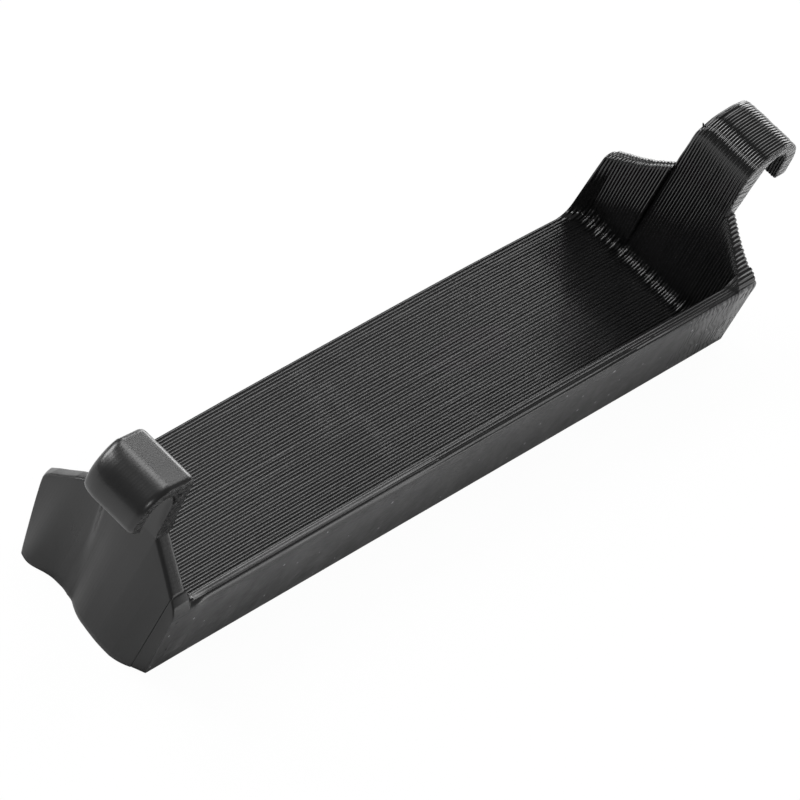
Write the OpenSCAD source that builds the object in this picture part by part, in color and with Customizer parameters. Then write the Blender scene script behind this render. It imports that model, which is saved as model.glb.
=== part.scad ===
// Clip-on battery tray, printed in one piece while it stands on its side wall.
// X runs along the tray, Y across it from the side wall to the open side, and Z up.
// The origin is the middle of the underside of the floor.

/* [Tray] */
// Clear length between the two ears, at the floor
inside_l = 52.2; // [42:0.1:80]
// Full width, from the outer face of the side wall to the open side
tray_w = 12; // [11:0.1:18]
// Thickness of the floor
floor_t = 1; // [0.8:0.05:1.4]
// Thickness of the low side wall
side_t = 0.8; // [0.6:0.05:1.2]
// Height of the side wall above the floor
side_h = 4.15; // [3.5:0.05:5]
// Radius of the fillet that turns the floor up into the end walls
fold_r = 0.8; // [0.5:0.05:1.2]

/* [End walls] */
// Thickness of an end wall
wall_t = 1.25; // [1:0.05:1.6]
// Lean of the end walls away from the cell, in degrees
lean = 3; // [0:0.5:5]
// Height above the floor where the arm leaves the end wall
shoulder_h = 7.65; // [6.5:0.05:9]
// Height of an ear above the floor, at the open side
ear_h = 4.6; // [3.5:0.05:6]
// Step of the ear's inner face towards the cell
ear_step = 0.25; // [0:0.05:0.4]
// Rounding of an ear's upright edge, on its outer face
ear_round = 1.1; // [0.3:0.05:1.2]
// How far the lower end of the ear's joint runs on towards the side wall
joint_run = 1.1; // [0:0.1:1.5]
// How far the toe of an end wall swells outwards
toe_out = 1.15; // [0.4:0.05:1.5]
// Height of the square edge at the bottom of the toe
toe_edge = 0.3; // [0.1:0.05:0.5]
// Length of the toe's crest, along the bottom edge
toe_crest = 1.4; // [0.3:0.1:1.8]
// Distance of that crest from the side wall's outer face
toe_back = 1.6; // [1.2:0.1:2.4]
// How far the toe has swollen halfway between the ear and the crest
toe_knee = 0.85; // [0.3:0.05:1]

/* [Arms and hooks] */
// Distance from the open side to an arm
arm_in = 4.05; // [3:0.05:5]
// Width of an arm and its hook
arm_w = 4.6; // [3.5:0.05:5.5]
// Thickness of an arm where it enters the hook
arm_t = 1.55; // [1.3:0.05:1.9]
// Radius of the round inside a hook
hook_r = 1; // [0.7:0.05:1.4]
// Thickness of the hook round that round
hook_t = 1.2; // [0.9:0.05:1.5]
// Height of the centre of the hook's round above the floor
hook_h = 10.6; // [10:0.05:12]
// Length of the hook's lip below that centre
lip_l = 1.2; // [0.6:0.05:1.6]
// Drop of the hook's crown towards the cell
crown_drop = 0.3; // [0.05:0.05:0.6]
// Bevel on the hook's end towards the open side
end_bevel = 0.45; // [0.2:0.05:0.9]
// Bevel on the edges of the lip and the crown
lip_bevel = 0.4; // [0.1:0.05:0.45]

/* [Hidden] */
$fn = 96;

// How far a solid runs into its neighbour where the two join
bite = 0.3;
y_open = tray_w / 2;
y_side = -tray_w / 2;
y_arm_open = y_open - arm_in;
y_arm_side = y_arm_open - arm_w;
z_side = floor_t + side_h;
z_ear = floor_t + ear_h;
z_shoulder = floor_t + shoulder_h;
z_hook = floor_t + hook_h;
hook_out_r = hook_r + hook_t;
z_crown = z_hook + hook_out_r;
x_ear = inside_l / 2;
x_wall = x_ear + ear_step;
x_arm = x_in(x_wall, z_shoulder);
x_hook = x_arm + arm_t + hook_r;
x_lip = x_hook + hook_out_r;
z_lip = z_hook - lip_l;
x_toe = x_in(x_wall, 0) + wall_t;
y_toe = y_side + toe_back + toe_crest;

// Inner face of an end wall at height z, for a wall that meets the floor at x
function x_in(x, z) = x + (z - floor_t) * tan(lean);

// The area left in the corner of a level line and a leaning wall, outside a round
module corner_web(r, x, z) {
    mid = [x + r * tan(lean) - r / cos(lean), z + r];
    difference() {
        polygon([[x, z], [mid.x, z], mid, mid + [r * cos(lean), -r * sin(lean)]]);
        translate(mid) circle(r);
    }
}

// Section of an end wall from the floor up to height z, seen along Y
module wall_section(x, t, z) {
    polygon([
        [x_in(x, 0) - bite, 0],
        [x_in(x, 0) + t, 0],
        [x_in(x, z) + t, z],
        [x_in(x, z), z],
        [x, floor_t],
        [x - bite, floor_t]
    ]);
    corner_web(fold_r, x, floor_t);
}

// Section of the arm and the hook above the shoulder
module hook_section() {
    difference() {
        union() {
            polygon([
                [x_in(x_wall, z_shoulder - bite), z_shoulder - bite],
                [x_arm + wall_t, z_shoulder - bite],
                [x_arm + wall_t, z_shoulder],
                [x_hook - hook_r, z_hook],
                [x_hook, z_hook],
                [x_hook, z_crown],
                [x_arm + lip_bevel, z_crown - crown_drop],
                [x_arm, z_crown - crown_drop - lip_bevel],
                [x_arm, z_shoulder]
            ]);
            intersection() {
                translate([x_hook, z_hook]) circle(hook_out_r);
                translate([x_hook, z_hook]) square(hook_out_r);
            }
            polygon([
                [x_hook + hook_r, z_hook + bite],
                [x_hook + hook_r, z_lip],
                [x_lip - lip_bevel, z_lip],
                [x_lip, z_lip + lip_bevel],
                [x_lip, z_hook]
            ]);
        }
        translate([x_hook, z_hook]) circle(hook_r);
    }
}

// Runs a section that is seen along Y across the whole width of the tray
module across() {
    translate([0, y_open, 0]) rotate([90, 0, 0]) linear_extrude(tray_w) children();
}

// Runs an outline that is seen along X over the whole depth of one end
module along() {
    rotate([90, 0, 90]) linear_extrude(x_lip + bite) children();
}

// Low wing of the end wall beside the open side, flush with it along the bottom edge
module ear() {
    intersection() {
        across() {
            polygon([
                [x_in(x_ear, 0) - bite, 0],
                [x_toe, 0],
                [x_toe, z_shoulder],
                [x_in(x_ear, z_shoulder), z_shoulder],
                [x_ear, floor_t],
                [x_ear - bite, floor_t]
            ]);
            corner_web(fold_r, x_ear, floor_t);
        }
        along() polygon([
            [y_open, 0],
            [y_open, z_ear],
            [y_arm_open, z_shoulder],
            [y_arm_open - bite, z_shoulder],
            [y_arm_open - joint_run - bite, 0]
        ]);
        linear_extrude(z_shoulder) union() {
            translate([0, y_side]) square([x_toe - ear_round, tray_w]);
            translate([0, y_side]) square([x_toe, tray_w - ear_round]);
            translate([x_toe - ear_round, y_open - ear_round]) circle(ear_round);
        }
    }
}

// Thicker end wall, with the slope that runs down to the side wall
module end_wall() {
    intersection() {
        across() wall_section(x_wall, wall_t, z_shoulder);
        along() polygon([
            [y_arm_open - joint_run, 0],
            [y_arm_open, z_shoulder],
            [y_arm_side, z_shoulder],
            [y_side, z_side],
            [y_side, 0]
        ]);
    }
}

// Swelling of the end wall's outer face, widest along its bottom edge
module toe() {
    intersection() {
        across() polygon([
            [x_toe - bite, 0],
            [x_toe + toe_out, 0],
            [x_toe + toe_out, toe_edge],
            [x_arm + wall_t, z_shoulder],
            [x_arm, z_shoulder]
        ]);
        along() polygon([
            [y_arm_open - joint_run, 0],
            [y_arm_open, z_shoulder],
            [y_arm_side, z_shoulder],
            [y_side, z_side],
            [y_side, 0]
        ]);
        linear_extrude(z_shoulder) polygon([
            [x_toe - bite, y_arm_open],
            [x_toe, y_arm_open - joint_run],
            [x_toe + toe_knee, (y_arm_open - joint_run + y_toe) / 2],
            [x_toe + toe_out, y_toe],
            [x_toe + toe_out, y_side + toe_back],
            [x_toe + wall_t * sin(lean), y_side],
            [x_toe - bite, y_side]
        ]);
    }
}

// Arm with the hook that reaches outwards and down
module arm_and_hook() {
    intersection() {
        across() hook_section();
        along() polygon([
            [y_arm_side, z_shoulder - bite],
            [y_arm_side, z_crown],
            [y_arm_open - end_bevel, z_crown],
            [y_arm_open, z_crown - end_bevel],
            [y_arm_open, z_shoulder - bite]
        ]);
        linear_extrude(z_crown) polygon([
            [x_ear, y_arm_side],
            [x_lip, y_arm_side],
            [x_lip, y_arm_open - end_bevel],
            [x_lip - end_bevel, y_arm_open],
            [x_ear, y_arm_open]
        ]);
    }
}

// Everything at one end of the tray
module tray_end() {
    ear();
    end_wall();
    toe();
    arm_and_hook();
}

module floor_and_side() {
    translate([-x_ear, y_side, 0]) cube([2 * x_ear, tray_w, floor_t]);
    intersection() {
        translate([-x_lip, y_side, 0]) cube([2 * x_lip, side_t, z_side]);
        rotate([90, 0, 0]) linear_extrude(tray_w, center = true) polygon([
            [-x_in(x_wall, 0) - wall_t, 0],
            [x_in(x_wall, 0) + wall_t, 0],
            [x_in(x_wall, z_side) + wall_t, z_side],
            [-x_in(x_wall, z_side) - wall_t, z_side]
        ]);
    }
}

module battery_tray() {
    color([0.07, 0.07, 0.08]) union() {
        floor_and_side();
        tray_end();
        mirror([1, 0, 0]) tray_end();
    }
}

battery_tray();
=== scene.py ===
from math import cos, pi, radians, sin, tan

import bmesh
import bpy
import numpy as np
from mathutils import Matrix, Vector
from mathutils.geometry import tessellate_polygon


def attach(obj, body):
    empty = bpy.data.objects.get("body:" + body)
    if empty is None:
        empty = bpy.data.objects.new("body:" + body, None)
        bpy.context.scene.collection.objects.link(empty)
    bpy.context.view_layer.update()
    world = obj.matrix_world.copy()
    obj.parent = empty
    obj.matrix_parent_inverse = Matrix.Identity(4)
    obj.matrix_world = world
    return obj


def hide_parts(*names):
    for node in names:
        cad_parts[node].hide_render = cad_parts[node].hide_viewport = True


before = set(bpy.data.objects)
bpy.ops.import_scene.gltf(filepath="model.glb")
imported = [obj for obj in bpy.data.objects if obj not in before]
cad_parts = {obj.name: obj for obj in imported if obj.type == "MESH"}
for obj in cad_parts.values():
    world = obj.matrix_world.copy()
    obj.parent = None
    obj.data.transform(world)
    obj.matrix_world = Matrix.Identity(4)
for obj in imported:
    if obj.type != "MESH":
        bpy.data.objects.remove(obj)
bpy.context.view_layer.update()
scene = bpy.context.scene
mm = 0.001
rng = np.random.default_rng(11)

# the view of the photograph
view = {
    "azimuth": -158.32,          # where the camera stands round the tray, degrees from +X
    "elevation": 41.32,
    "roll": 29.46,               # the picture leans clockwise by this much
    "distance": 565.0,
    "aim": (2.40, 0.57, 1.26),   # point on the lens axis
    "lens": 420.6,
    "sensor": 36.0,
}


# Camera on a sphere round the aim: the axes back, right and down come from azimuth and
# elevation, and right and down then turn by the roll.
def makeCamera(s):
    az, el, roll = (radians(s[k]) for k in ("azimuth", "elevation", "roll"))
    back = Vector((cos(el) * cos(az), cos(el) * sin(az), sin(el)))
    right = (-back).cross(Vector((0, 0, 1))).normalized()
    down = (-back).cross(right)
    right, down = right * cos(roll) - down * sin(roll), right * sin(roll) + down * cos(roll)
    turn = Matrix((right, -down, back)).transposed().to_4x4()
    data = bpy.data.cameras.new("photoView")
    data.lens = s["lens"]
    data.sensor_width = s["sensor"]
    data.clip_end = 10
    camera = bpy.data.objects.new("photoView", data)
    scene.collection.objects.link(camera)
    camera.matrix_world = Matrix.Translation((Vector(s["aim"]) + back * s["distance"]) * mm) @ turn
    scene.camera = camera


makeCamera(view)
print("camera placed")

# the tray's driving sizes in millimetres, as in its solid; a layer's place across the tray
# counts from the open side, 0, to the side wall's outer face, 12
tray = {
    "width": 12.0, "layer": 0.2, "floor": 1.0, "lean": 3.0,
    "foldRound": 0.9, "sideTop": 5.15, "sideLayers": 4,
    "earIn": 26.1, "wallIn": 26.35, "wall": 1.25, "shoulder": 8.65,
    "armFrom": 4.05, "armWidth": 4.6, "armThick": 1.55,
    "hookRound": 1.0, "hookThick": 1.2, "hookTop": 11.6,
    # how far the toe swells out, and its share of that from place to place
    "toeOut": 1.4, "toeEven": 0.5, "toeEdge": 0.35,
    "toe": ((5.15, 0), (6.65, 0.7), (8.2, 0.92), (9.0, 1), (10.4, 1),
            (10.6, 0.84), (11.2, 0.62), (12.0, 0.22)),
    # small roundings of the outline's corners
    "footRound": 0.08, "toeRound": 0.3, "shoulderRound": 1.2, "lipRound": 0.12, "backRound": 3.0,
    "plateRound": 0.15, "seatRound": 0.02,
    # how far the open edge bows out between the ends, about which middle and over which reach
    "bow": 0.33, "bowMiddle": 1.5, "bowReach": 28,
    # edges that turn by more degrees than this stay sharp; fineness of the drops
    "sharp": 55, "dropDetail": 3,
}
# what the two ends don't share, because the print warped a little
ends = {
    "near": {
        # height of the ear's upper edge from place to place
        "earEdge": ((0, 5.25), (0.5, 5.77), (1.05, 6.23), (2.0, 7.08), (4.05, 8.6)),
        "earCurl": 0.0, "earOut": 25.74, "earCorner": 0.4, "earFoot": 0.6, "topRound": 0.3,
        "crownDrop": 0.5, "crownRound": 0.7, "topOut": 0.25, "slim": 0.0, "reach": 0.0,
        "lift": 0.12, "lip": 1.2, "tipRound": 0.7, "slopeRound": 0.3, "slopeInner": 0.3,
        # rounding of the hook's edges towards the ear and towards the side wall: depth, run
        "earEnd": (0.3, 0.45), "sideEnd": (0.35, 0.5),
        # towards the ear the hook draws in: crown from the cell, crown down, tip back, run
        "drawIn": (0.0, 0.0, 0.75, 1.5),
        # how far a sloping edge falls in steps, layer by layer
        "stairs": 0.0,
    },
    "far": {
        "earEdge": ((0, 6.03), (1.4, 6.85), (2.1, 7.3), (2.7, 7.73), (4.05, 8.95)),
        "earCurl": 0.22, "earOut": 25.5, "earCorner": 0.0, "earFoot": 0.5, "topRound": 0.5,
        "crownDrop": 0.75, "crownRound": 2.0, "topOut": 0.66, "slim": 0.2, "reach": 0.44,
        "lift": 0.08, "lip": 1.6, "tipRound": 0.35, "slopeRound": 0.45, "slopeInner": 0.3,
        "earEnd": (0.25, 0.4), "sideEnd": (0.12, 0.25),
        "drawIn": (0.1, 0.85, 0.1, 1.25),
        "stairs": 0.75,
    },
}
# points on each edge of a layer's half outline, and in the arc at each of its corners
counts = {
    "ear": ([60, 8, 8, 2, 6, 8, 64], [0, 3, 4, 5, 5, 2, 8]),
    "hook": ([56, 1, 12, 7, 0, 2, 2, 2, 5, 8, 13, 60], [0, 2, 2, 3, 6, 6, 3, 5, 12, 5, 3, 7]),
    "slope": ([60, 1, 16, 3, 14, 64], [0, 3, 3, 5, 4, 8]),
    "plate": ([60, 1, 14, 2, 2, 64], [0, 3, 3, 4, 2, 2]),
}


# Runs along a polyline whose corners are rounded. At each corner the arc leaves both edges at
# radius / tan(half the corner's angle) from it. Between arcs the points lie evenly on the edge.
# Works on all layers at once: corners is (layers, corners, 2).
def roundedPath(corners, radii, edgeSteps, arcSteps):
    corners = np.asarray(corners, float)
    out = []
    last = corners.shape[1] - 1
    leave = corners[:, 0]
    for i in range(1, last + 1):
        here = corners[:, i]
        if i == last:
            enter, arc, nextLeave = here, None, None
        else:
            a = corners[:, i - 1] - here
            b = corners[:, i + 1] - here
            a /= np.linalg.norm(a, axis=1)[:, None]
            b /= np.linalg.norm(b, axis=1)[:, None]
            half = np.arccos(np.clip((a * b).sum(1), -1, 1)) / 2
            reach = np.asarray(radii[i], float) / np.tan(half)
            enter = here + a * reach[:, None]
            nextLeave = here + b * reach[:, None]
            inwards = (a + b) / np.linalg.norm(a + b, axis=1)[:, None]
            middle = here + inwards * (radii[i] / np.sin(half))[:, None]
            t = np.linspace(0, 1, arcSteps[i] + 1)[None, :, None]
            sweep = (pi - 2 * half)[:, None, None]
            u = (enter - middle)[:, None]
            v = (nextLeave - middle)[:, None]
            whole = np.sin(sweep)
            whole = np.where(np.abs(whole) < 1e-6, 1e-6, whole)    # a corner with no turn
            arc = middle[:, None] + (np.sin((1 - t) * sweep) * u + np.sin(t * sweep) * v) / whole
        n = edgeSteps[i - 1]
        if n:
            t = (np.arange(n) / n)[None, :, None]
            out.append(leave[:, None] * (1 - t) + enter[:, None] * t)
        if arc is not None:
            out.append(arc[:, :-1])
            leave = nextLeave
    return np.concatenate(out, axis=1)


# Stacks corner points whose parts may be numbers or one value per layer.
def column(*points):
    rows = max(np.size(v) for p in points for v in p)
    return np.stack([np.stack([np.broadcast_to(v, (rows,)) for v in p], 1) for p in points], 1)


# Rounded path whose radii may be numbers or one value per layer.
def outline(w, path, radii, kind):
    one = 0 * w
    return roundedPath(path, [0] + [one + r for r in radii] + [0], *counts[kind])


# Toe's outward swelling: straight stretches from place to place, and the mean of five places
# close together, which evens out the corners between them.
def swell(w, s):
    places, shares = zip(*s["toe"])
    around = np.linspace(-s["toeEven"], s["toeEven"], 5)
    return s["toeOut"] * np.mean([np.interp(w + d, places, shares) for d in around], 0)


# The end walls' inner face leans outwards: x + height above the floor * tan(lean)
def innerX(x, z, s):
    return x + (z - s["floor"]) * tan(radians(s["lean"]))


# Foot of an end wall's outer face: the wall at the underside, and the toe's swelling.
def toeX(w, s):
    return innerX(s["wallIn"], 0, s) + s["wall"] + swell(w, s)


# Slope of an end wall: its height falls in a line from the arm to the side wall. Gives the
# height, and the share of the way down.
def slopeAt(w, s):
    start = s["armFrom"] + s["armWidth"]
    share = (w - start) / (s["width"] - start)
    return s["shoulder"] + (s["sideTop"] - s["shoulder"]) * share, np.clip(share, 0, 1)


# Share of a rounding near the end of a stretch, a quarter of an ellipse:
# 1 - sqrt(1 - (1 - way / run)^2)
def rounding(way, run):
    t = np.clip(1 - way / run, 0, 1)
    return 1 - np.sqrt(1 - t * t)


# 0 below the first place, 1 above the second, smooth between: t * t * (3 - 2 * t)
def blend(value, first, second):
    t = np.clip((value - first) / (second - first), 0, 1)
    return t * t * (3 - 2 * t)


# the ears, the low wings beside the open side
ear = {
    # a plane cuts off the open corner, at earOut + up * height + over * place across; it leaves
    # the wall this thick at least, and its edge at the open side is rounded over cornerRun
    "up": 0.3, "over": 1.515, "least": 0.35, "cornerRun": 0.8,
    "cutLow": 0.4, "cutHigh": 0.5, "cutRound": 0.6,        # how near it comes to foot and top
    "footOut": 0.1, "footPlace": 2.2, "footSpread": 1.1,   # swelling of the foot
    "bend": 4.5, "bendIn": 0.02, "bendRound": 0.2,         # slight bend in the inner face
    "stepIn": 0.04,                                        # step that is left at the floor
    "curlRun": 3,                                          # top curls towards the cell
    "foldMore": 0.25, "foldRun": 4,                        # the fold's round grows
    "lowRound": 0.06, "lowMore": 1.2, "lowRun": 1.5,       # rounding of the bottom edge
    "apart": 0.005,                                        # keeps the cut's corner a corner
}


# Half outline of a layer with an ear: underside, outer face, top, inner face, fold, floor.
# The foot swells like exp(-distance squared).
def earHalf(w, s, end):
    top = np.interp(w, *zip(*end["earEdge"]))
    out = innerX(s["wallIn"], 0, s) + s["wall"]
    plane = end["earOut"] + ear["over"] * w - end["earCorner"] * rounding(w, ear["cornerRun"])
    hump = np.exp(-((w - ear["footPlace"]) / ear["footSpread"]) ** 2)
    foot = out + ear["footOut"] + end["earFoot"] * hump
    outLow = np.minimum(foot, plane)
    outTop = np.minimum(out, plane + ear["up"] * top)
    # height where the plane leaves the outer face
    flare = (foot - out) / top
    cut = np.clip((foot - plane) / (ear["up"] + flare), ear["cutLow"], top - ear["cutHigh"])
    outMid = np.minimum(foot - flare * cut, plane + ear["up"] * cut) + ear["apart"]
    # the step towards the wall beside it runs out at the floor
    inLow = np.minimum(s["wallIn"] - ear["stepIn"], outLow - ear["least"])
    inTop = innerX(s["earIn"], top, s) - end["earCurl"] * np.clip(1 - w / ear["curlRun"], 0, 1)
    line = inLow + (inTop - inLow) * (ear["bend"] - s["floor"]) / (top - s["floor"])
    inMid = np.minimum(innerX(s["earIn"], ear["bend"], s), line) - ear["bendIn"]
    path = column((0, 0), (outLow, 0), (outMid, cut), (outTop, top), (inTop, top),
                  (inMid, ear["bend"]), (inLow, s["floor"]), (0, s["floor"]))
    nearOpen = np.clip(1 - w / ear["lowRun"], 0, 1)
    low = ear["lowRound"] + ear["lowMore"] * end["earCorner"] * nearOpen
    fold = s["foldRound"] + ear["foldMore"] * np.clip(1 - w / ear["foldRun"], 0, 1)
    radii = [low, ear["cutRound"], end["topRound"], end["topRound"], ear["bendRound"], fold]
    return outline(w, path, radii, "ear")


# Half outline of a layer with an arm: as above, and over the hook on the way up and back. The
# hook is two arcs about one centre, of hookRound inside and hookRound + hookThick outside.
def hookHalf(w, s, end):
    bottom = toeX(w, s)
    armIn = innerX(s["wallIn"], s["shoulder"], s)
    shoulderOut = armIn + s["wall"] - end["slim"]
    hx = armIn + s["armThick"] + s["hookRound"] + end["reach"]
    hz = s["hookTop"] + end["lift"]
    r = s["hookRound"]
    outer = r + s["hookThick"]
    crown = hz + outer
    path = column((0, 0), (bottom, 0), (bottom, s["toeEdge"]), (shoulderOut, s["shoulder"]),
                  (hx - r, hz + r), (hx + r, hz + r), (hx + r, hz - end["lip"]),
                  (hx + outer, hz - end["lip"]), (hx + outer, crown),
                  (armIn, crown - end["crownDrop"]), (armIn, s["shoulder"]),
                  (s["wallIn"], s["floor"]), (0, s["floor"]))
    radii = [s["footRound"], s["toeRound"], s["shoulderRound"], r, r, s["lipRound"],
             end["tipRound"], outer, end["crownRound"], s["backRound"], s["foldRound"]]
    return outline(w, path, radii, "hook")


# Half outline of a layer on the slope between the shoulder and the side wall. The top warped
# outwards by topOut * share of the way down cubed.
def slopeHalf(w, s, end):
    top, share = slopeAt(w, s)
    bottom, inside = toeX(w, s), innerX(s["wallIn"], top, s)
    topOut = inside + s["wall"] - end["slim"] * (1 - share) + end["topOut"] * share ** 3
    path = column((0, 0), (bottom, 0), (bottom, s["toeEdge"]), (topOut, top), (inside, top),
                  (s["wallIn"], s["floor"]), (0, s["floor"]))
    radii = [s["footRound"], s["toeRound"], end["slopeRound"], end["slopeInner"], s["foldRound"]]
    return outline(w, path, radii, "slope")


# Half outline of a side wall layer, which is one flat plate from end to end.
def plateHalf(w, s, end):
    top, share = slopeAt(w, s)
    bottom, inside = toeX(w, s), innerX(s["wallIn"], top, s)
    topOut = inside + s["wall"] + end["topOut"] * share ** 3
    seat = s["sideTop"] + 1e-3       # a hair above, so that the last layer keeps its corner
    path = column((0, 0), (bottom, 0), (bottom, s["toeEdge"]), (topOut, top), (inside, top),
                  (inside - (top - s["sideTop"]), seat), (0, s["sideTop"]))
    radii = [s["plateRound"], s["toeRound"], s["plateRound"], s["seatRound"], s["seatRound"]]
    return outline(w, path, radii, "plate")


# layer relief: depth of the grooves, uneven flow along a layer, shift of a whole layer; at the
# fold the grooves are deeper by the factor fold, and layers differ there by foldSpread
relief = {
    "groove": 0.045, "wobble": 0.009, "drift": 0.010, "fold": 2.2, "foldSpread": 0.022,
    # rings over a bead: place within the layer, share of the groove's depth
    "bead": ((0.2, 0.22), (0.5, 0.0), (0.8, 0.22)),
    "foldX": 26.0, "foldWide": 0.45, "foldZ": 1.35, "foldHigh": 0.4,
    "waveCount": 6, "waveScale": (0.15, 1.9), "waveSpan": 6, "waveEven": 2.4,
    "slots": 80, "spare": 8,         # random values, one for each layer and a few spare
}
# by how much the relief changes over the print, and the places between which each change sets
# in: X outwards, W across the tray, Z up
crisp = {
    "nearEnd": 0.96, "nearEndX": (25.6, 26.5),
    "nearFloor": 0.2, "nearFloorX": (2, 20), "nearFloorZ": 1.2,
    "sideTop": 0.88, "sideTopX": (-4, 12), "sideTopW": (11.05, 11.3), "sideTopZ": (4.4, 4.9),
    "farCrown": 0.3, "farCrownX": (26.9, 27.4), "farCrownZ": (12, 12.6),
    "farEnd": 0.5, "farEndX": (26.5, 26.9), "farEndW": (8.6, 8.7),
    "crease": 0.8, "creaseX": (26.8, 27.2), "creaseW": 11.2,
}
# a dotted seam along the near hook's crown, where its round begins
seam = {"x": -29.5, "wide": 0.13, "above": 13.2, "relief": 0.3, "push": 0.1}


# Rings of the layers first..last: one in each groove and three over each bead. Gives every
# ring's place across the tray, the place its outline is taken at, how far it is set in, and
# its layer, with a half for a groove between two.
def ringPlaces(first, last, s):
    places, taken, inset, owner = [], [], [], []
    h = s["layer"]
    for k in range(first, last + 1):
        places.append(k * h)
        taken.append(k * h)
        inset.append(relief["groove"])
        owner.append(k - 0.5)
        if k == last:
            break
        for u, share in relief["bead"]:
            places.append((k + u) * h)
            taken.append((k + 0.5) * h)
            inset.append(share * relief["groove"])
            owner.append(k)
    return np.array(places), np.array(taken), np.array(inset), np.array(owner)


# Share of the layer relief that shows at each point. The outside of the near end came out
# smooth, and so did the side wall's top towards that end. A crease runs round the near end,
# where the side wall's layers end.
def crispness(ring, places):
    x, z = ring[..., 0], ring[..., 1]
    c = crisp
    top = blend(places, *c["sideTopW"])[:, None] * blend(z, *c["sideTopZ"])
    armSide = blend(places, *c["farEndW"])[:, None]
    crease = (np.abs(places - c["creaseW"]) < 0.01)[:, None]
    share = 1 - c["nearEnd"] * blend(-x, *c["nearEndX"])
    share = share * (1 - c["nearFloor"] * blend(-x, *c["nearFloorX"]) * (z < c["nearFloorZ"]))
    share = share * (1 - c["sideTop"] * top * blend(-x, *c["sideTopX"]))
    share = share + c["farCrown"] * blend(x, *c["farCrownX"]) * blend(z, *c["farCrownZ"])
    share = share + c["farEnd"] * blend(x, *c["farEndX"]) * armSide
    share = share + seam["relief"] * nearSeam(ring)
    share = share + c["crease"] * blend(-x, *c["creaseX"]) * crease
    return share * (1 + relief["fold"] * nearFold(ring))


# 1 on the seam, falling off like exp(-distance squared).
def nearSeam(ring):
    x, z = ring[..., 0], ring[..., 1]
    return np.exp(-((x - seam["x"]) / seam["wide"]) ** 2) * (z > seam["above"])


# 1 in the fold between floor and end wall, falling off like exp(-distance squared).
def nearFold(ring):
    x, z = np.abs(ring[..., 0]), ring[..., 1]
    return np.exp(-((x - relief["foldX"]) / relief["foldWide"]) ** 2
                  - ((z - relief["foldZ"]) / relief["foldHigh"]) ** 2)


waves = rng.uniform(*relief["waveScale"], (relief["waveCount"], 2))
waves = waves * rng.choice([-1, 1], (relief["waveCount"], 2))
phases = rng.uniform(0, 2 * pi, (relief["waveCount"], relief["slots"]))
swings = rng.normal(0, 1, relief["slots"])
foldSwings = rng.normal(0, 1, relief["slots"])


# Small uneven flow of the plastic: for each layer a sum of slow waves along the outline,
# with phases of its own, and one shift of the whole layer. A groove has its neighbours' mean.
def wander(points, owner):
    def one(k):
        k = np.asarray(k).astype(int) + relief["spare"]
        turn = points @ waves.T * 2 * pi / relief["waveSpan"] + phases[:, k].T[:, None, :]
        flow = relief["wobble"] * np.sin(turn).sum(-1) / relief["waveEven"]
        flow = flow + relief["drift"] * swings[k][:, None]
        return flow + relief["foldSpread"] * foldSwings[k][:, None] * nearFold(points)
    return (one(np.floor(owner)) + one(np.ceil(owner))) / 2


# The open edge bows outwards between the ends: bow * (1 - |way from the middle / reach|^3)
def bow(x):
    way = np.abs((x - tray["bowMiddle"]) / tray["bowReach"])
    return tray["bow"] * np.clip(1 - way ** 3, 0, 1)


# One stretch of layers as a closed skin: rings of points in planes across the tray, joined
# ring to ring, and a flat cap on the first and the last. Every point moves along its ring's
# normal by the relief, and then by what extra gives. Layers bow out less the further they are
# from the open side.
def layered(first, last, half, extra=None):
    places, taken, inset, owner = ringPlaces(first, last, tray)
    far, near = (half(places + (taken - places) * end["stairs"], tray, end)
                 for end in (ends["far"], ends["near"]))
    near[..., 0] *= -1
    ring = np.concatenate([far, near[:, ::-1]], axis=1)
    joint = far.shape[1]
    if np.allclose(ring[:, joint - 1], ring[:, joint]):
        ring = np.delete(ring, joint, axis=1)
    ahead = np.roll(ring, -1, axis=1) - np.roll(ring, 1, axis=1)
    length = np.maximum(np.linalg.norm(ahead, axis=2), 1e-9)
    normal = np.stack([ahead[..., 1], -ahead[..., 0]], -1) / length[..., None]
    push = (wander(ring, owner) - inset[:, None]) * crispness(ring, places)
    more, moveX, moveZ = extra(ring, places) if extra else (0, 0, 0)
    ring = ring + normal * (push + more)[..., None]
    ring[..., 0] += moveX
    ring[..., 1] += moveZ
    rows, count = ring.shape[:2]
    bulge = bow(ring[..., 0])
    across = tray["width"] / 2 - places[:, None] * (1 + bulge / tray["width"]) + bulge
    verts = np.stack([ring[..., 0], across, ring[..., 1]], -1)
    i, j = np.meshgrid(np.arange(rows - 1), np.arange(count), indexing="ij")
    nxt = (j + 1) % count
    quads = [i * count + j, (i + 1) * count + j, (i + 1) * count + nxt, i * count + nxt]
    flat = [[Vector((p[0], p[1], 0)) for p in ring[k]] for k in (0, -1)]
    caps = [[tuple(t) for t in tessellate_polygon([f])] for f in flat]
    return verts.reshape(-1, 3), np.stack(quads, -1).reshape(-1, 4), caps, count, rows


# how the hooks' forms ease; pairs are the places between which each sets in, X outwards, Z up
hook = {
    "inset": 0.05,                        # the roundings start this far inside the arm
    "endsZ": (9.2, 11.0),                 # roundings at both ends
    "crownZ": (9.8, 12.0), "crownX": (28.2, 29.8),      # crown draws in from the cell
    "tipX": (28.9, 31.2),                 # tip draws back
    "topZ": (11.4, 13.0), "topX": (30.2, 31.8),         # crown comes down
    # the ear's joint slants: its height at the arm's edge, fall per mm across, run below it
    "jointZ": 13.4, "jointFall": 7.5, "jointRun": 5.0, "jointX": (26.9, 27.3),
    # under the joint the outer face goes over into the ear's: in with the height above the
    # toe's edge, and out at the bottom, which runs out at stepZ
    "stepIn": 0.0542, "stepOut": 0.15, "stepZ": 8.5,
}


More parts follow.
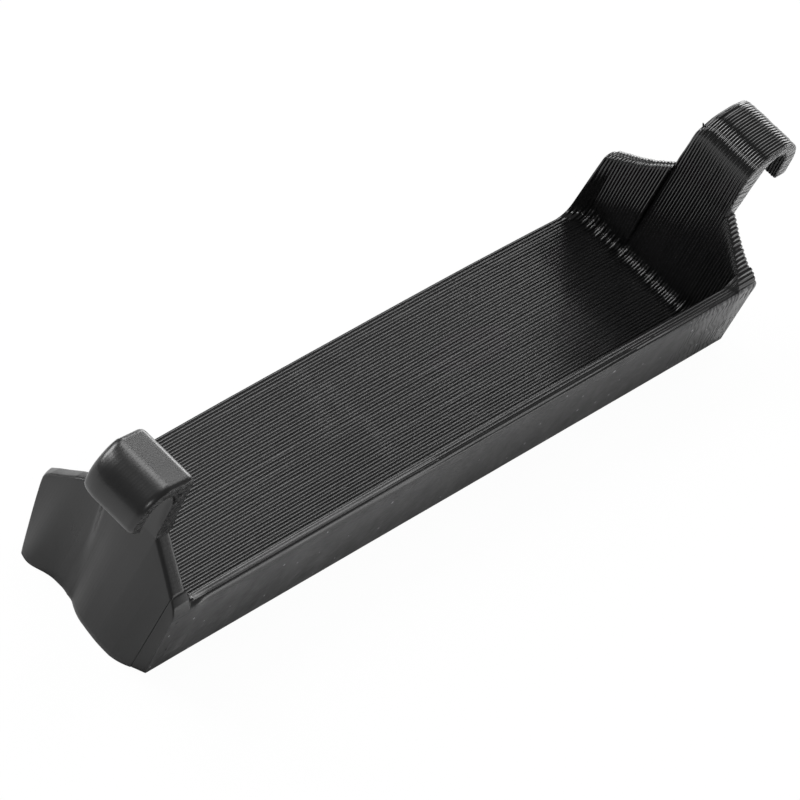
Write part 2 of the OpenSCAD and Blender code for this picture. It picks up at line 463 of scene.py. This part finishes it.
# Hooks: their ends are rounded off by rounding(way from the end, run), and they draw in towards
# the ear by the same share. Below the slanting joint the outer face moves by
# stepIn * height - stepOut * (1 - height / stepZ) towards the cell.
def hookShape(ring, places):
    x, z = ring[..., 0], ring[..., 1]
    size = np.abs(x)
    high = blend(z, *hook["endsZ"])
    fromEar = (places - tray["armFrom"])[:, None]
    earWay = (places - tray["armFrom"] + hook["inset"])[:, None]
    sideWay = (tray["armFrom"] + tray["armWidth"] - hook["inset"] - places)[:, None]
    push, moveX, moveZ = 0 * x, 0 * x, 0 * x
    for name, sign in (("far", 1), ("near", -1)):
        end, here = ends[name], x * sign > 0
        push = push - here * high * end["earEnd"][0] * rounding(earWay, end["earEnd"][1])
        push = push - here * high * end["sideEnd"][0] * rounding(sideWay, end["sideEnd"][1])
        fromCell, down, back, run = end["drawIn"]
        t = here * rounding(earWay, run)
        crown = blend(z, *hook["crownZ"]) * (1 - blend(size, *hook["crownX"]))
        moveX = moveX + sign * t * fromCell * crown
        moveX = moveX - sign * t * back * blend(size, *hook["tipX"])
        moveZ = moveZ - t * down * blend(z, *hook["topZ"]) * (1 - blend(size, *hook["topX"]))
    push = push + seam["push"] * nearSeam(ring)
    joint = hook["jointZ"] - fromEar * hook["jointFall"]
    step = blend(joint - z, 0, hook["jointRun"]) * blend(size, *hook["jointX"])
    inwards = hook["stepIn"] * np.maximum(z - tray["toeEdge"], 0)
    inwards = inwards - hook["stepOut"] * (1 - z / hook["stepZ"])
    moveX = moveX - np.sign(x) * inwards * step
    return push, moveX, moveZ


# the side wall's top, whose outer face lay on the print bed
bed = {
    "round": 0.35, "drop": 0.65, "dropFar": 0.3, "dropX": (-22, -8),     # long round: run, depth
    "topZ": (4.0, 4.9),              # heights between which the face goes over into the top
    "endX": (24.5, 26),              # the long round runs out towards the ends
    "fall": 0.09, "fallW": 11.2, "fallX": (-4, 10),
    "faceIn": 0.03,                  # rounding of the edges below the top
}


# Side wall: its outer face goes over into the top in a long round, half a quarter ellipse and
# half a straight bevel, which is less deep at the far end. Towards the near end the top also
# falls outwards, in a line.
def bedShape(ring, places):
    x, z = ring[..., 0], ring[..., 1]
    way = (tray["width"] - places)[:, None]
    upper = blend(z, *bed["topZ"])
    middle = 1 - blend(np.abs(x), *bed["endX"])
    depth = bed["dropFar"] + (bed["drop"] - bed["dropFar"]) * blend(-x, *bed["dropX"]) * middle
    fall = bed["fall"] * np.maximum(places - bed["fallW"], 0)[:, None]
    fall = fall * blend(-x, *bed["fallX"]) * middle
    arc = 0.5 * rounding(way, bed["round"]) + 0.5 * np.clip(1 - way / bed["round"], 0, 1)
    return -bed["faceIn"] * arc * (1 - upper), 0, -(depth * arc + fall) * upper


# little drops of plastic left by the nozzle: place in mm, half sizes, turn about Y
drops = [
    ((-26.38, -5.12, 5.18), (0.17, 0.15, 0.13), 0.4),
    ((-26.00, -5.45, 5.12), (0.22, 0.19, 0.12), 0.0),
    ((-27.30, -5.93, 4.28), (0.24, 0.12, 0.15), 0.5),
    ((-26.85, -5.98, 1.60), (0.16, 0.07, 0.12), 0.9),
    ((-27.95, -2.62, 12.50), (0.16, 0.12, 0.14), 0.2),
    ((-28.20, -2.60, 11.95), (0.13, 0.12, 0.17), 0.7),
    ((27.34, 1.86, 12.28), (0.16, 0.14, 0.10), 0.8),
    ((27.20, 1.90, 12.43), (0.35, 0.07, 0.06), 0.94),
]


# Joins the four stretches of layers into one mesh, and adds each drop: a ball that is
# stretched, turned and moved.
def makeTray(s):
    armFirst = round(s["armFrom"] / s["layer"])
    armLast = round((s["armFrom"] + s["armWidth"]) / s["layer"])
    layers = round(s["width"] / s["layer"])
    sideFirst = layers - s["sideLayers"]
    stretches = [(0, armFirst, earHalf, None), (armFirst, armLast, hookHalf, hookShape),
                 (armLast, sideFirst, slopeHalf, None), (sideFirst, layers, plateHalf, bedShape)]
    verts, faces, base = [], [], 0
    for first, last, half, extra in stretches:
        v, quads, caps, count, rows = layered(first, last, half, extra)
        verts.append(v)
        faces += (quads + base).tolist()
        for cap, start in zip(caps, (base, base + (rows - 1) * count)):
            faces += [[start + q for q in t] for t in cap]
        base += len(v)
    mesh = bpy.data.meshes.new("printedTray")
    mesh.from_pydata((np.concatenate(verts) * mm).tolist(), [], faces)
    piece = bpy.data.objects.new("printedTray", mesh)
    scene.collection.objects.link(piece)
    bm = bmesh.new()
    bm.from_mesh(mesh)
    bmesh.ops.remove_doubles(bm, verts=bm.verts, dist=1e-9)
    bmesh.ops.recalc_face_normals(bm, faces=bm.faces)
    for place, half, turn in drops:
        size = Matrix.Diagonal((*half, 1))
        spot = Matrix.Translation(place) @ Matrix.Rotation(turn, 4, "Y") @ size
        spot = Matrix.Scale(mm, 4) @ spot @ Matrix.Scale(1 / mm, 4)
        bmesh.ops.create_icosphere(bm, subdivisions=s["dropDetail"], radius=mm, matrix=spot)
    bm.to_mesh(mesh)
    bm.free()
    mesh.shade_smooth()
    mesh.set_sharp_from_angle(angle=radians(s["sharp"]))
    return piece


printed = makeTray(tray)
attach(printed, "root")
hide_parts("battery_tray")
print("tray made of", len(printed.data.polygons), "faces")


# Wraps a socket, so that a line of arithmetic adds its Math nodes.
class Sock:
    def __init__(self, tree, socket=None):
        self.tree, self.socket = tree, socket

    # Adds a node: its settings first, then the values or links of its sockets, by name or, as
    # i0, i1 and so on, by number.
    def node(self, kind, settings=None, **inputs):
        made = self.tree.nodes.new(kind)
        for key, value in (settings or {}).items():
            setattr(made, key, value)
        for key, value in inputs.items():
            numbered = key[0] == "i" and key[1:].isdigit()
            socket = made.inputs[int(key[1:]) if numbered else key]
            if isinstance(value, Sock):
                self.tree.links.new(value.socket, socket)
            else:
                socket.default_value = value
        return made

    def out(self, made, name=0):
        return Sock(self.tree, made.outputs[name])

    def math(self, operation, other=None, flip=False):
        inputs = {"i0": other, "i1": self} if flip else {"i0": self}
        if other is not None and not flip:
            inputs["i1"] = other
        return self.out(self.node("ShaderNodeMath", {"operation": operation}, **inputs))

    # 0 at start, 1 from start + 1 / rise on, a straight line between; with a negative rise it
    # runs the other way
    def ramp(self, start, rise):
        return ((self - start) * rise).math("MAXIMUM", 0.0).math("MINIMUM", 1.0)

    # 1 where the value is nearer to middle than reach
    def near(self, middle, reach):
        return (self - middle).math("ABSOLUTE") < reach

    def __add__(self, other): return self.math("ADD", other)
    def __radd__(self, other): return self.math("ADD", other, True)
    def __sub__(self, other): return self.math("SUBTRACT", other)
    def __rsub__(self, other): return self.math("SUBTRACT", other, True)
    def __mul__(self, other): return self.math("MULTIPLY", other)
    def __rmul__(self, other): return self.math("MULTIPLY", other, True)
    def __gt__(self, other): return self.math("GREATER_THAN", other)
    def __lt__(self, other): return self.math("LESS_THAN", other)


# the black plastic; places and reaches are in metres, bedMiddle alone in millimetres, and a
# grain is a noise's scale
plastic = {
    "colour": 0.0042, "blue": 1.04,
    "roughness": 0.22, "unevenness": 0.14, "patchGrain": 220.0,
    "ior": 1.5,
    # the far hook and the folds came out glossier, the near end duller
    "hookGloss": 0.12, "hookFrom": 0.0268,
    "foldGloss": 0.09, "foldX": (0.0260, 0.0008), "foldZ": (0.0015, 0.0006),
    "nearDull": 0.08, "nearFrom": -0.0255, "nearRise": -2000.0,
    # the side wall's outer face, which lay on the print bed, is a little convex over its height
    "bedPlace": -0.00592, "bedRoughness": 0.42, "bedUnevenness": 0.3, "bedGrain": 900.0,
    "bedDent": 0.045, "dentGrain": 1500.0, "bedCurve": 0.03, "bedMiddle": 1.8,
    # fine dust on it, and a painted sheen that makes it lighter towards the top; both more towards
    # the far end
    "bedDustAndSheen": 0.022, "sheenRise": 190.0, "dustLeast": 0.3, "dustSpread": 1.4, "dustGrain": 700.0,
    "farFrom": 0.0205, "farRise": 180.0, "farDustAndSheen": 1.6,
    # ripples on its far end: waves along X and Z, bent by a noise
    "rippleX": 14000.0, "rippleZ": 6000.0, "rippleBend": 24.0, "bendGrain": 650.0,
    "ripple": 0.1, "rippleGrain": 800.0,
    # end faces of the arms, where the print bridged nothing and smeared
    "scarPlace": -0.00258, "scarReach": 0.00006, "scarAbove": 0.0086,
    "scarDepth": 0.8, "scarDust": 0.16, "strandGrain": 4200.0, "strandStretch": 0.25,
    # pale specks outside, towards the bed: a cell whose random value is above speckNone has one,
    # on the bed face above speckNone - speckBed
    "specks": 0.35, "speckCells": 480.0, "speckNone": 0.8, "speckBed": 0.35,
    "speckSize": 0.02, "speckSpread": 0.03, "speckPlace": -0.0053,
    # two dull smudges on the floor: x where they cross the middle, slope, half width, from y to y
    "smudges": [(-0.0039, 0.42, 0.0007, 0.0006, 0.0058), (-0.0010, 0.04, 0.0009, -0.0023, 0.0042)],
    "smudgeDull": 0.18, "smudgeRagged": 0.003, "smudgeGrain": 420.0, "smudgeBelow": 0.0011,
}


# Roughness = base + noise - gloss of the hook and folds + dullness of the near end, smudges and
# bed face. Colour = base + dust with painted sheen on the bed face + specks. Height for the bump =
# dents, curve and ripples of the bed face, and the strands on the arms' end faces.
def plasticMaterial(s):
    mat = bpy.data.materials.new("blackPrint")
    mat.use_nodes = True
    tree = mat.node_tree
    shader = tree.nodes["Principled BSDF"]
    start = Sock(tree)
    place = start.out(start.node("ShaderNodeTexCoord"), "Object")
    parts = place.node("ShaderNodeSeparateXYZ", None, Vector=place)
    x, y, z = (place.out(parts, k) for k in "XYZ")

    def noise(grain, detail=3.0, at=place):
        made = at.node("ShaderNodeTexNoise", None, Vector=at, Scale=grain, Detail=detail)
        return at.out(made, "Fac")

    def merged(a, b, c):
        return place.out(place.node("ShaderNodeCombineXYZ", None, X=a, Y=b, Z=c))

    bedFace = y < s["bedPlace"]
    farEnd = x.ramp(s["farFrom"], s["farRise"])

    inFold = x.math("ABSOLUTE").near(*s["foldX"]) * z.near(*s["foldZ"])
    rough = s["roughness"] + (noise(s["patchGrain"]) - 0.5) * s["unevenness"]
    rough = rough - (x > s["hookFrom"]) * s["hookGloss"] - inFold * s["foldGloss"]
    rough = rough + x.ramp(s["nearFrom"], s["nearRise"]) * s["nearDull"]
    smudge = 0.0
    for crossing, slope, width, low, high in s["smudges"]:
        ragged = (noise(s["smudgeGrain"]) - 0.5) * s["smudgeRagged"]
        away = (x - crossing - y * slope + ragged).math("ABSOLUTE")
        inside = (y > low) * (y < high)
        smudge = (1.0 - away * (1.0 / width)).math("MAXIMUM", 0.0) * inside + smudge
    rough = rough + smudge * (z < s["smudgeBelow"]) * s["smudgeDull"]
    duller = s["bedRoughness"] - s["roughness"]
    rough = rough + bedFace * (duller + (noise(s["bedGrain"]) - 0.5) * s["bedUnevenness"])

    scar = y.near(s["scarPlace"], s["scarReach"]) * (z > s["scarAbove"])
    strand = noise(s["strandGrain"], 4.0, merged(x * s["strandStretch"], y, z))
    smear = scar * strand
    grains = s["dustLeast"] + noise(s["dustGrain"]) * s["dustSpread"]
    # painted sheen: the bed face's colour grows lighter with height, with the dust's grains in it
    dustAndSheen = bedFace * s["bedDustAndSheen"] * (z * s["sheenRise"]).math("MAXIMUM", 0.0) * grains
    dustAndSheen = dustAndSheen * (1.0 + farEnd * s["farDustAndSheen"]) + smear * strand * (x > 0) * s["scarDust"]
    cells = place.node("ShaderNodeTexVoronoi", {"voronoi_dimensions": "2D"},
                       Vector=merged(x, z - y, 0.0), Scale=s["speckCells"])
    pick = place.node("ShaderNodeSeparateXYZ", None, Vector=place.out(cells, "Color"))
    chosen = place.out(pick, "X") > s["speckNone"] - bedFace * s["speckBed"]
    size = s["speckSize"] + place.out(pick, "Y") * s["speckSpread"]
    speck = (place.out(cells, "Distance") < size) * chosen * (y < s["speckPlace"])
    grey = s["colour"] + dustAndSheen + speck * s["specks"]
    tint = place.node("ShaderNodeCombineColor", None, Red=grey, Green=grey, Blue=grey * s["blue"])

    bend = noise(s["bendGrain"]) * s["rippleBend"]
    ripple = (x * s["rippleX"] + z * s["rippleZ"] + bend).math("SINE")
    ripple = ripple * farEnd * noise(s["rippleGrain"]) * s["ripple"]
    middle = z * 1000.0 - s["bedMiddle"]
    curve = middle * middle * (farEnd - 1.0) * s["bedCurve"]
    dents = bedFace * (curve + noise(s["dentGrain"]) * s["bedDent"] + ripple)
    bump = place.node("ShaderNodeBump", None, Height=dents + smear * s["scarDepth"],
                      Distance=0.001, Strength=1.0)

    shader.inputs["IOR"].default_value = s["ior"]
    tree.links.new(tint.outputs[0], shader.inputs["Base Color"])
    tree.links.new(rough.socket, shader.inputs["Roughness"])
    tree.links.new(bump.outputs[0], shader.inputs["Normal"])
    return mat


printed.data.materials.append(plasticMaterial(plastic))
print("plastic made")

studio = {
    "world": 0.265,
    "white": (1, 1, 1, 1),
    "lamps": [
        # name, place in metres, width, height, brightness of its face
        ("overhead", (0.27, 0.17, 0.54), 0.17, 0.34, 6.0),
        ("side", (-0.36, -0.25, 0.40), 0.12, 0.12, 12.0),
        ("edge", (0.43, -0.37, 0.05), 0.40, 0.08, 3.2),
        ("key", (-0.09, 0.45, 0.42), 0.34, 0.26, 12.5),
        ("lowKey", (-0.22, 0.55, 0.25), 0.22, 0.14, 14.0),
        ("beyond", (0.42, 0.17, 0.40), 0.34, 0.09, 4.2),
        ("low", (0.55, 0.215, 0.115), 0.34, 0.16, 8.0),
    ],
    # how white the world is for straight rays, and for those that the plastic mirrors
    "worldSeen": 1.0, "worldMirrored": 0.04,
}
# the pale floor: half its side in metres, its own finish, and its white for the same two rays
paleFloor = {
    "reach": 1.5, "colour": (0.8, 0.8, 0.8, 1), "roughness": 0.9,
    "floorSeen": 0.97, "floorMirrored": 0.05,
}


# Share of plain white that a ray meets: (straight + through glass) * seen + glossy * mirrored.
# Black plastic mirrors the real floor and the dim room, so mirrored rays get a small part.
def whiteShare(tree, seen, mirrored):
    start = Sock(tree)
    rays = start.node("ShaderNodeLightPath")
    straight, glossy, through = (
        start.out(rays, k) for k in ("Is Camera Ray", "Is Glossy Ray", "Is Transmission Ray"))
    return (straight + through) * seen + glossy * mirrored


# World of an even soft light, white where it is seen, and lamps that all face the tray. A
# lamp's power is brightness * pi * area.
def makeStudio(s):
    world = bpy.data.worlds.new("studio")
    scene.world = world
    world.use_nodes = True
    tree = world.node_tree
    tree.nodes.clear()
    start = Sock(tree)
    soft = start.node("ShaderNodeBackground", None, Color=s["white"], Strength=s["world"])
    plain = start.node("ShaderNodeBackground", None, Color=s["white"])
    share = whiteShare(tree, s["worldSeen"], s["worldMirrored"])
    mix = start.node("ShaderNodeMixShader", None,
                     i0=share, i1=start.out(soft), i2=start.out(plain))
    start.node("ShaderNodeOutputWorld", None, i0=start.out(mix))
    for name, place, width, height, brightness in s["lamps"]:
        data = bpy.data.lights.new(name, "AREA")
        data.shape = "RECTANGLE"
        data.size, data.size_y = width, height
        data.energy = brightness * pi * width * height
        lamp = bpy.data.objects.new(name, data)
        scene.collection.objects.link(lamp)
        facing = Vector(place).to_track_quat("Z", "Y").to_matrix().to_4x4()
        lamp.matrix_world = Matrix.Translation(place) @ facing


# One square on which the tray stands. Its own finish takes the shadow, and white is mixed in.
def makeFloor(s):
    mesh = bpy.data.meshes.new("paleFloor")
    r = s["reach"]
    mesh.from_pydata([(-r, -r, 0), (r, -r, 0), (r, r, 0), (-r, r, 0)], [], [(0, 1, 2, 3)])
    ground = bpy.data.objects.new("paleFloor", mesh)
    scene.collection.objects.link(ground)
    mat = bpy.data.materials.new("palePaper")
    mat.use_nodes = True
    tree = mat.node_tree
    shader = tree.nodes["Principled BSDF"]
    shader.inputs["Base Color"].default_value = s["colour"]
    shader.inputs["Roughness"].default_value = s["roughness"]
    start = Sock(tree)
    glow = start.node("ShaderNodeEmission")
    share = whiteShare(tree, s["floorSeen"], s["floorMirrored"])
    mix = start.node("ShaderNodeMixShader", None,
                     i0=share, i1=start.out(shader), i2=start.out(glow))
    tree.links.new(mix.outputs[0], tree.nodes["Material Output"].inputs[0])
    mesh.materials.append(mat)


makeStudio(studio)
makeFloor(paleFloor)
scene.view_settings.view_transform = "Standard"
print("studio made")
